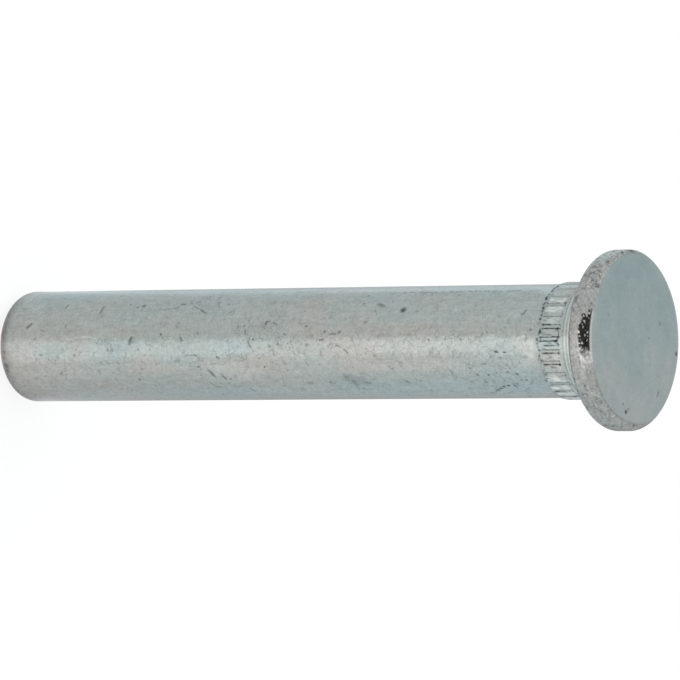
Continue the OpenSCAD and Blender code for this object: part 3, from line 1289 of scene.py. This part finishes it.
    def _normals(self, skin: Skin) -> tuple[np.ndarray, np.ndarray]:
        """Return the outward and upward parts of the surface's direction.

        Args:
            skin: Points of the pin.

        Returns:
            The outward part and the upward part, which make a unit length.
        """
        s = self.sizes
        radii, heights = skin.radii, skin.heights
        out = np.ones(len(radii))
        up = np.zeros(len(radii))
        head = heights > s.grip_l - TINY
        flat = head & (radii <= s.face_r + TINY)
        middle = (s.grip_l + s.total_l) / 2
        up[flat] = np.sign(heights[flat] - middle)
        out[flat] = 0.0
        over = np.maximum(np.abs(heights - middle) - (s.total_l - s.grip_l) / 2 + s.edge_r, 0.0)
        beside = np.maximum(radii - s.face_r, 0.0)
        edge = head & ~flat
        size = np.hypot(over, beside)[edge]
        out[edge] = beside[edge] / size
        up[edge] = over[edge] / size * np.sign(heights - middle)[edge]
        tip = heights < s.tip_r
        round_out = np.maximum(radii - s.shank_r + s.tip_r, 0.0)
        round_down = s.tip_r - heights
        length = np.maximum(np.hypot(round_out, round_down), 1e-6)
        out[tip] = (round_out / length)[tip]
        up[tip] = (-round_down / length)[tip]
        return out, up

    def _mark(self, shank: Skin, marks: list[Mark], hairlines: list[Hairline]) -> None:
        """Press the marks and the cracks into the shank.

        Args:
            shank: Points of the plain shank, which get the wear.
            marks: Marks on the shank.
            hairlines: Cracks on the shank.
        """
        for mark in marks:
            along, across = self._local(mark, shank.angles, shank.heights)
            half_l, half_w = mark.length / 2, mark.width / 2
            far = np.hypot(along / half_l, across / half_w)
            if mark.kind is MarkKind.SCRATCH:
                run = 1 - step(0.6, 1.0, np.abs(along) / half_l)
                bowl = run * bell(across, half_w)
                lip = run * bell(np.abs(across) - 0.9 * mark.width, 0.3 * mark.width)
            else:
                bowl = bell(far, 1.0, 4)
                lip = bell(far - 1.35, 0.25)
            shank.sink += mark.depth * (bowl - 0.25 * lip)
            shade = bowl
            # A pit is painted darker on its side towards the free end: a painted shadow in its bowl.
            if mark.kind is MarkKind.PIT:
                shade = bowl * np.clip(0.75 - 0.7 * (shank.heights - mark.height) / half_l, 0.15, 1.0)
            shank.soil += mark.soil * shade
        for line in hairlines:
            near = np.nonzero(self._gap(line, shank.angles, shank.heights) < 3 * line.width)[0]
            if not len(near):
                continue
            wobble = cloud(shank.points[near], 0.3)
            gap = self._gap(line, shank.angles[near] + 1.2 * wobble, shank.heights[near] + 0.08 * wobble)
            cut = bell(gap, line.width / 2)
            ragged = np.clip(0.6 + 1.4 * cloud(shank.points[near], 0.28, 5.0), 0.0, 1.3)
            shank.sink[near] += LINE_DEPTH * cut * ragged
            shank.soil[near] += line.soil * cut * ragged
            shank.gleam[near] += line.shine * cut * ragged

    def _groove(self, collar: Skin) -> None:
        """Press the ring of grooves, the pads between them and the fine scores above into the collar.

        Args:
            collar: Points of the collar and of its lead, which get the wear.
        """
        s = self.sizes
        chance = random.Random(self.scatter_seed + 1)
        pitch = 360 / s.groove_count
        low, high = s.groove_z
        ragged = cloud(collar.points, 0.35)
        streaky = cloud(collar.points * (1.0, 1.0, 0.3), 0.14, 21.0)
        soft = 0.06
        for i in range(s.groove_count):
            centre = i * pitch + self.groove_turn + chance.uniform(-0.5, 0.5)
            width = s.groove_w * chance.uniform(1.2, 1.55)
            depth = s.groove_depth * chance.uniform(0.5, 0.8)
            start = low + chance.uniform(-0.2, 0.0)
            end = high + chance.uniform(-0.15, 0.1)
            side = np.radians(turned(collar.angles, centre)) * s.collar_r + 0.03 * ragged
            run = Stretch(start - soft, start + soft, end - soft, end + soft).share(collar.heights)
            floor = bell(side, width / 2, 6) * run
            collar.sink += depth * floor
            # Grime and painted shade in the groove: a little on its floor, dark lines along its walls and
            # dark dots at the walls' ends.
            collar.soil += chance.uniform(0.0, 0.12) * floor
            for wall, grime in zip((-0.5, 0.5), self._wall_grime(centre)):
                line = bell(side - wall * width, chance.uniform(0.036, 0.06)) * run
                collar.soil += grime * chance.uniform(0.5, 1.15) * line * np.clip(1 + 1.3 * ragged, 0.2, 1.6)
                turn = centre + math.degrees(wall * width / s.collar_r)
                for height in (start, end):
                    radius = chance.uniform(0.06, 0.12)
                    self._spot(collar, turn, height, radius, grime * chance.uniform(0.0, 1.1))
            # Painted shade: dark dots at the lower ends of the grooves, heaviest round -20 and -60 degrees,
            # and one at the upper end round -58 degrees.
            dotted = 0.5 + 0.5 * bell(turned(centre, -20), 55, 4) - 0.2 * bell(turned(centre, -2), 10)
            dotted += 0.8 * bell(turned(centre, -60), 28)
            self._spot(collar, centre, end, 0.1, 0.6 * bell(turned(centre, -58), 18))
            for _ in range(4):
                self._spot(
                    collar, centre + chance.uniform(-6, 6), s.collar_z + chance.uniform(-0.24, 0.1),
                    chance.uniform(0.07, 0.15), chance.uniform(0.2, 0.9) * dotted,
                )
            self._pad(collar, centre + pitch / 2, streaky, chance)
        for line in COLLAR_CRACKS:
            cut = bell(self._gap(line, collar.angles, collar.heights), line.width / 2)
            collar.sink += DOT_DEPTH * cut
            collar.soil += line.soil * cut
        self._score(collar)

    def _spot(self, collar: Skin, angle: float, height: float, radius: float, soil: float) -> None:
        """Press one dark dot into the collar.

        Args:
            collar: Points of the collar, which get the wear.
            angle: Angle of the dot in degrees.
            height: Height of the dot.
            radius: Its radius in millimetres.
            soil: Its grime and painted shade.
        """
        side = np.radians(turned(collar.angles, angle)) * self.sizes.collar_r
        dot = bell(np.hypot(side, collar.heights - height), radius, 3)
        collar.sink += DOT_DEPTH * dot
        collar.soil += soil * dot

    @staticmethod
    def _wall_grime(centre: float) -> tuple[float, float]:
        """Return the grime and painted shade on the two walls of a groove.

        Args:
            centre: Angle of the groove in degrees.

        Returns:
            Grime and painted shade of the wall with the lower angle, and of the other.
        """
        turn = turned(centre, 0)
        return next((lower, upper) for limit, lower, upper in WALL_GRIME_AND_SHADE if turn < limit)

    def _pad(self, collar: Skin, middle: float, streaky: np.ndarray, chance: random.Random) -> None:
        """Flatten one rib of the collar to a pad, which is pale where it is worn and has a painted highlight
        where it is turned to the side.

        Args:
            collar: Points of the collar, which get the wear.
            middle: Angle of the rib's middle.
            streaky: Noise that is drawn out along the ribs, one value per point.
            chance: Source of the rib's own tilt and tone.
        """
        s = self.sizes
        low, high = s.groove_z
        turn = turned(middle, 0)
        side_on = float(step(26, 42, np.array(turn if turn > 0 else 1.25 * abs(turn) + 8)))
        early = 0.25 * side_on * (turn > 0)
        half = math.pi * s.collar_r / s.groove_count - 0.75 * s.groove_w
        side = np.radians(turned(collar.angles, middle)) * s.collar_r
        inside = (
            bell(side, half, 8)
            * step(low - 0.2 - early, low - early, collar.heights)
            * (1 - step(high - 0.1, high + 0.1, collar.heights))
        )
        chord = (half ** 2 - side ** 2) / (2 * s.collar_r)
        collar.sink += inside * (chord + 0.006 + chance.uniform(-0.012, 0.012) * side / half)
        # Pads turned more than about 30 degrees from the front get a painted highlight, except from -130 to
        # -50 degrees.
        worn = 0.1 if -130 < turn < -50 else 0.05 + 0.6 * side_on
        bright = step(low - 0.1 - early, low + 0.05 - early, collar.heights)
        bright *= 1 - step(high - 0.2, high, collar.heights)
        tone = worn + chance.uniform(-0.1, 0.12)
        collar.gleam += tone * inside * bright * np.clip(0.8 + 1.2 * streaky, 0.0, 1.3)
        collar.soil += inside * (0.04 + (1 - side_on) * np.clip(-streaky - 0.05, 0.0, 1.0))

    def _score(self, collar: Skin) -> None:
        """Set the painted shade in dots along the collar's lower edge, and the rings that the die scored
        above the grooves.

        Args:
            collar: Points of the collar, which get the wear.
        """
        s = self.sizes
        # Painted shade in dots along the collar's lower edge.
        dots = step(0.05, 0.3, cloud(collar.points, 0.17, 9.0))
        collar.soil += 0.4 * dots * bell(collar.heights - s.collar_z + 0.05, 0.1)
        rise = collar.heights - s.groove_z[1]
        for place, grime in ((0.35, 0.28), (0.64, 0.15), (0.93, 0.45)):
            ring = bell(rise - place, 0.045)
            collar.sink += LINE_DEPTH * ring
            collar.soil += grime * ring
        for place, shine in ((0.5, 0.3), (0.8, 0.5)):
            collar.gleam += shine * bell(rise - place, 0.05)

    def _upset(self, head: Skin) -> None:
        """Roughen the rim of the head, which was upset in a die, and set on it a painted dark reflection with
        painted glints on its front edge, painted shade along its lower edge and a painted highlight along the
        face's border.

        Args:
            head: Points of the rim and of the face's edge, which get the wear.
        """
        s = self.sizes
        coarse = cloud(head.points, 0.8)
        medium = cloud(head.points, 0.3, 7.0)
        fine = cloud(head.points, 0.13, 3.0)
        top = step(s.total_l - 0.25, s.total_l - 0.15, head.heights)
        past = head.radii - self._border(head.angles)
        worn = (head.radii - past < s.face_r) * top * step(0.0, 0.26, past)
        head.sink += 0.08 * worn * (s.face_r - head.radii + past) / s.worn_edge
        self._sharpen(head)
        rim = step(-0.05, 0.05, past)
        head.gleam += 0.06 * worn
        pits = np.clip(medium - 0.22, 0, 1) + 0.7 * np.clip(fine - 0.3, 0, 1)
        head.sink += rim * (0.006 * (coarse + 1) + 0.05 * pits)
        head.soil += 0.9 * rim * pits
        head.gleam += 0.9 * rim * np.clip(-fine - 0.3, 0, 1)
        # Painted shade along the rim's lower edge, next to the collar.
        head.soil += 0.45 * (1 - step(s.grip_l + 0.16, s.grip_l + 0.28, head.heights))
        self._worm(head, past)
        turn = head.angles + 4 * medium
        # A dark patch on the front of the face's edge: a painted reflection of a dark object before the head,
        # with bright crumbs as painted glints, pressed in a little.
        foot = s.total_l - 0.15 - 0.66 * step(-21, -10, turn) + 0.12 * step(-6, 6, turn)
        over = step(-0.05, 0.05, head.heights - foot + 0.08 * medium)
        over *= step(0.11, 0.16, past)
        painted_reflection = over * DARK_REFLECTION.share(turn)
        glints = step(0.32, 0.44, fine + 0.16 * (1 - step(0.05, 0.3, head.heights - foot)))
        head.soil += 0.97 * painted_reflection * (1 - glints)
        head.gleam += 0.8 * painted_reflection * glints
        head.sink += DOT_DEPTH * painted_reflection * (fine + 0.5)
        burr = step(s.total_l - 0.75, s.total_l - 0.6, head.heights) * BURR.share(turn)
        head.gleam += burr * rim * (0.06 + 0.7 * step(-0.15, 0.2, medium + 0.4 * fine))
        # A painted highlight along the face's border on the front.
        head.gleam += 0.5 * top * EDGE_HIGHLIGHT.share(head.angles) * bell(past - 0.05, 0.07, 4)
        head.soil += 0.22 * top * DARK_EDGE.share(head.angles) * bell(past, 0.06)
        dull = LOWER_DULL.share(head.angles) + UPPER_DULL.share(head.angles)
        head.soil += 0.18 * dull * step(-0.25, 0.0, past)
        dent_turn, dent_z, dent_spread, dent_h = -26.9, 55.0, 2.6, 0.16
        aside = turned(head.angles, dent_turn) / dent_spread
        dent = bell(np.hypot(aside, (head.heights - dent_z) / dent_h), 1.0, 4)
        head.sink += 0.04 * dent
        head.soil += 0.5 * dent

    def _sharpen(self, head: Skin) -> None:
        """Fill the rounding of the face's edge out on the left of the front, where its border is crisp.

        Args:
            head: Points of the rim and of the face's edge, which are pushed out.
        """
        s = self.sizes
        beside = np.maximum(head.radii - s.face_r, 1e-6)
        over = np.maximum(head.heights - s.total_l + s.edge_r, 1e-6)
        corner = np.hypot(beside, over) / np.maximum(beside, over) - 1
        crisp = np.clip((self._border(head.angles) - s.face_r) / s.crisp_edge, 0.0, 1.0)
        crisp *= step(-112, -88, head.angles) * (head.angles < 0)
        head.sink -= 0.7 * s.edge_r * corner * crisp

    def _worm(self, head: Skin, past: np.ndarray) -> None:
        """Set the worm-like pits that run along the face's edge beside the scar.

        Args:
            head: Points of the rim and of the face's edge, which get the wear.
            past: Distance of each point outwards from the face's border.
        """
        s = self.sizes
        curls = np.clip(1 - np.abs(cloud(head.points, 0.36, 13.0)) / 0.2, 0, 1)
        broken = step(-0.25, 0.15, cloud(head.points, 0.5, 17.0))
        edge = step(-0.12, 0.05, past) * step(s.total_l - 1.5, s.total_l - 0.6, head.heights)
        left = LEFT_WORMS.share(head.angles)
        right = 0.55 * RIGHT_WORMS.share(head.angles)
        pitted = curls * broken * edge * (left + right)
        head.sink += DOT_DEPTH * pitted
        head.soil += 0.62 * pitted
        head.gleam += 0.35 * edge * left * step(0.1, 0.4, cloud(head.points, 0.2, 19.0))

    def _scuff(self, skin: Skin) -> None:
        """Darken the rounded edge of the free end in blotches, reaching higher near 14 degrees.

        Args:
            skin: Points of the pin, which get the wear.
        """
        edge = np.nonzero(skin.heights < 1.5 * self.sizes.tip_r)[0]
        part = skin.part(edge)
        line = 0.7 + 0.3 * bell(turned(part.angles, 14), 20)
        blobs = step(0.05, 0.3, cloud(part.points, 0.35, 25.0))
        part.soil += 0.42 * blobs * bell(part.heights - line, 0.22)
        skin.put(edge, part)

    def _speck(self, skin: Skin) -> None:
        """Set the specks on the head's face.

        Args:
            skin: Points of the pin, which get the wear.
        """
        flat = np.nonzero(skin.heights > self.sizes.total_l - TINY)[0]
        across = skin.points[flat, :2]
        for speck in FACE_SPECKS:
            spot = bell(np.linalg.norm(across - (speck.x, speck.y), axis=1), speck.radius, 3)
            skin.sink[flat] += DOT_DEPTH * spot
            skin.soil[flat] += speck.soil * spot

    def _patches(self, seed: int, least: float, most: float) -> tuple[Patch, ...]:
        """Return seeded soft patches for the back of the shank.

        Args:
            seed: Seed of their places and strengths.
            least: Least strength of a patch.
            most: Greatest strength of a patch.

        Returns:
            The patches.
        """
        chance = random.Random(seed)
        return tuple(
            Patch(
                chance.uniform(2.0, self.sizes.lead_z - 2.0), chance.uniform(102, 258),
                chance.uniform(4.0, 10.0), chance.uniform(24, 50), chance.uniform(least, most),
            )
            for _ in range(self.scatter_patches)
        )

    def _tint(self, skin: Skin) -> None:
        """Lay the tint of the passivate over the pin and crackle it, add the painted highlights and the dull
        patches of the front, and paint shade across the head's face.

        Args:
            skin: Points of the pin, which get the tint and the crackle.
        """
        s = self.sizes
        layers = (
            (FRONT_TINTS + self._patches(self.scatter_seed + 3, -0.8, 0.8), skin.tint),
            (FRONT_CRACKLE + self._patches(self.scatter_seed + 4, 0.2, 0.55), skin.crackle),
            (FRONT_HIGHLIGHTS, skin.gleam), (FRONT_DULLS, skin.soil),
        )
        for patches, values in layers:
            for patch in patches:
                along = bell(skin.heights - patch.height, patch.length / 2, 4)
                values += patch.strength * along * bell(turned(skin.angles, patch.angle), patch.spread / 2, 4)
        # Painted shade across the head's face: bluer and darker towards -X, rosier and lighter towards +X,
        # and rosier near the border on the -X side.
        face = (skin.heights > s.total_l - FACE_DEPTH) & (skin.radii < self._border(skin.angles))
        right, back = skin.points[face, 0] / s.head_r, skin.points[face, 1] / s.head_r
        edge = bell(self._border(skin.angles[face]) - skin.radii[face], 0.4)
        skin.tint[face] = 0.75 * right - 0.15 * back + 0.6 * edge * step(0.3, -0.3, right)


@dataclass(frozen=True)
class TentStop:
    """Brightness of the light tent in one direction, close to the pin and far from it."""

    azimuth: float
    near: float
    far: float
    tint: str = "#ffffff"


@dataclass
class Studio:
    """A white floor in a light tent, which is brightest in front of the pin and falls off to its right."""

    floor_size: float = 4.0
    floor_colour: str = "#fffefd"
    floor_glow: float = 0.85
    world_colour: str = "#f3fafd"
    world_level: float = 0.92
    lamp_size: float = 1.6
    lamp_place: tuple[float, float, float] = (-0.6, 0.3, 1.3)
    lamp_power: float = 9.0
    foot_r: float = 4.2 * MM
    clear_r: float = 6.2 * MM
    foot_level: float = 0.55
    near_r: float = 12.0 * MM
    far_r: float = 80.0 * MM
    sheet_lift: float = 0.05 * MM
    top_level: float = 1.7
    stops: tuple[TentStop, ...] = (
        TentStop(-180, 0.60, 0.65),
        TentStop(-154, 0.66, 0.77, "#f3fbff"),
        TentStop(-136, 1.05, 1.20, "#f3fbff"),
        TentStop(-126, 1.04, 1.12, "#f3fbff"),
        TentStop(-120, 0.96, 0.97, "#f6fcff"),
        TentStop(-88, 0.95, 1.00),
        TentStop(-50, 1.00, 1.06),
        TentStop(-20, 1.00, 1.06, "#fffcfa"),
        TentStop(-10, 1.12, 1.16, "#fffcfa"),
        TentStop(-5, 1.32, 1.60, "#fffcfb"),
        TentStop(15, 1.43, 1.58, "#fffcfb"),
        TentStop(21, 1.31, 1.43, "#fffcfb"),
        TentStop(30, 1.17, 1.25, "#fffcfb"),
        TentStop(48, 1.14, 1.24, "#fffcfb"),
        TentStop(62, 0.99, 1.14),
        TentStop(80, 0.90, 1.04),
        TentStop(110, 0.87, 1.03, "#f9fcff"),
        TentStop(127, 0.75, 0.89, "#f9fcff"),
        TentStop(146, 0.56, 0.68),
        TentStop(158, 0.46, 0.48),
        TentStop(180, 0.60, 0.65),
    )

    def build(self) -> None:
        """Lay the floor and the sheet, and set the lamp and the world."""
        scene = bpy.context.scene
        scene.view_settings.view_transform = "Standard"
        floor = self._plane("floor", self.floor_size, 0.0, self._paper())
        sheet = self._plane("tent_sheet", self.floor_size, self.sheet_lift, self._tent())
        for ray in ("camera", "diffuse", "shadow", "transmission", "volume_scatter"):
            setattr(sheet, f"visible_{ray}", False)
        lamp = bpy.data.lights.new("softbox", "AREA")
        lamp.size = self.lamp_size
        lamp.energy = self.lamp_power
        softbox = bpy.data.objects.new("softbox", lamp)
        softbox.location = self.lamp_place
        softbox.rotation_euler = (-Vector(self.lamp_place)).to_track_quat("-Z", "Y").to_euler()
        softbox.visible_glossy = False
        scene.collection.objects.link(softbox)
        scene.world = self._world()

    def _world(self) -> bpy.types.World:
        """Build the world: the tent's light, and plain white for the camera and in the metal.

        Returns:
            The world.
        """
        world = bpy.data.worlds.new("tent")
        tree = empty_tree(world)
        light = add_node(
            tree, "Background", {"Color": linear(self.world_colour), "Strength": self.world_level}
        )
        white = add_node(tree, "Background", {"Color": linear("#ffffff"), "Strength": 1.0})
        rays = add_node(tree, "LightPath").outputs
        seen = rays["Is Camera Ray"]
        for kind in ("Is Glossy Ray", "Is Transmission Ray"):
            seen = add_node(tree, "Math", {0: seen, 1: rays[kind]}, operation="MAXIMUM").outputs[0]
        tent = add_node(tree, "MixShader", {0: seen, 1: light, 2: white})
        add_node(tree, "OutputWorld", {"Surface": tent})
        return world

    @staticmethod
    def _plane(name: str, size: float, height: float, material: bpy.types.Material) -> bpy.types.Object:
        """Make a square sheet round the origin.

        Args:
            name: Name of the object.
            size: Side in metres.
            height: Height in metres.
            material: Its material.

        Returns:
            The new object.
        """
        half = size / 2
        mesh = bpy.data.meshes.new(name)
        corners = [(-half, -half, height), (half, -half, height), (half, half, height), (-half, half, height)]
        mesh.from_pydata(corners, [], [(0, 1, 2, 3)])
        mesh.materials.append(material)
        sheet = bpy.data.objects.new(name, mesh)
        bpy.context.scene.collection.objects.link(sheet)
        return sheet

    def _paper(self) -> bpy.types.Material:
        """Build the matt white paper of the floor, lit from below so that the shadow on it is faint.

        Returns:
            The material.
        """
        material = bpy.data.materials.new("white_paper")
        tree = empty_tree(material)
        paper = add_node(
            tree, "BsdfPrincipled", {"Base Color": linear(self.floor_colour), "Roughness": 0.9}
        )
        glow = add_node(tree, "Emission", {"Strength": 1.0})
        seen = add_node(tree, "LightPath").outputs["Is Camera Ray"]
        share = add_node(tree, "Math", {0: seen, 1: self.floor_glow}, operation="MULTIPLY")
        lit = add_node(tree, "MixShader", {0: share, 1: paper, 2: glow})
        add_node(tree, "OutputMaterial", {"Surface": lit})
        return material

    def _tent(self) -> bpy.types.Material:
        """Build the glow of the tent round the pin, by the direction and the distance from its axis.

        Returns:
            An emission material with two ramps over the azimuth, from -180 to 180 degrees.
        """
        material = bpy.data.materials.new("light_tent")
        tree = empty_tree(material)
        place = add_node(tree, "TexCoord").outputs["Object"]
        parts = add_node(tree, "SeparateXYZ", {0: place}).outputs
        front = add_node(tree, "Math", {0: parts[1], 1: -1.0}, operation="MULTIPLY")
        azimuth = add_node(tree, "Math", {0: parts[0], 1: front}, operation="ARCTAN2")
        share = add_node(tree, "MapRange", {"Value": azimuth, "From Min": -math.pi, "From Max": math.pi})
        places = [stop.azimuth / 360 + 0.5 for stop in self.stops]
        glows = []
        for level in ("near", "far"):
            glow = add_node(tree, "ValToRGB", {"Fac": share})
            colours = [linear(stop.tint, getattr(stop, level) / self.top_level) for stop in self.stops]
            fill_ramp(glow.color_ramp, list(zip(places, colours)))
            glows.append(glow.outputs[0])
        reach = add_node(tree, "VectorMath", {0: place}, operation="LENGTH").outputs["Value"]
        away = add_node(tree, "MapRange", {"Value": reach, "From Min": self.near_r, "From Max": self.far_r})
        colour = add_node(tree, "Mix", {0: away, 6: glows[0], 7: glows[1]}, data_type="RGBA")
        strength = add_node(
            tree, "MapRange",
            {
                "Value": reach, "From Min": self.foot_r, "From Max": self.clear_r,
                "To Min": self.foot_level * self.top_level, "To Max": self.top_level,
            },
        )
        emission = add_node(tree, "Emission", {"Color": colour.outputs[2], "Strength": strength})
        add_node(tree, "OutputMaterial", {"Surface": emission})
        return material


@dataclass(frozen=True)
class PhotoCamera:
    """The photograph's camera: a long lens that looks down on the pin, turned so that the head is right."""

    elevation: float = 33.06
    roll: float = 0.62
    distance: float = 652.5 * MM
    aim: tuple[float, float, float] = (-0.26 * MM, 0.0, 29.8 * MM)
    lens: float = 445.5
    sensor: float = 36.0

    def build(self) -> bpy.types.Object:
        """Place the camera and make it the scene's own.

        Returns:
            The camera object.
        """
        tilt, roll = math.radians(self.elevation), math.radians(self.roll)
        rise = Vector((0, math.sin(tilt), math.cos(tilt)))
        side = Vector((1, 0, 0))
        back = Vector((0, -math.cos(tilt), math.sin(tilt)))
        right = math.cos(roll) * rise + math.sin(roll) * side
        above = math.sin(roll) * rise - math.cos(roll) * side
        lens = bpy.data.cameras.new("photo_camera")
        lens.lens = self.lens
        lens.sensor_width = self.sensor
        lens.clip_start = 0.05
        lens.clip_end = 20.0
        camera = bpy.data.objects.new("photo_camera", lens)
        camera.matrix_world = (
            Matrix.Translation(Vector(self.aim) + self.distance * back)
            @ Matrix((right, above, back)).transposed().to_4x4()
        )
        bpy.context.scene.collection.objects.link(camera)
        bpy.context.scene.camera = camera
        return camera


def main() -> None:
    """Build the camera, the studio and the pin in order, and log the pin's points and triangles."""
    logging.basicConfig(level=logging.INFO, format="%(name)s: %(message)s")
    PhotoCamera().build()
    Studio().build()
    pin = HingePin(PinSizes.from_frame()).build()
    triangles = sum(len(face.vertices) - 2 for face in pin.data.polygons)
    LOG.info("%s: %d points, %d triangles", pin.name, len(pin.data.vertices), triangles)


if __name__ == "__main__":
    main()
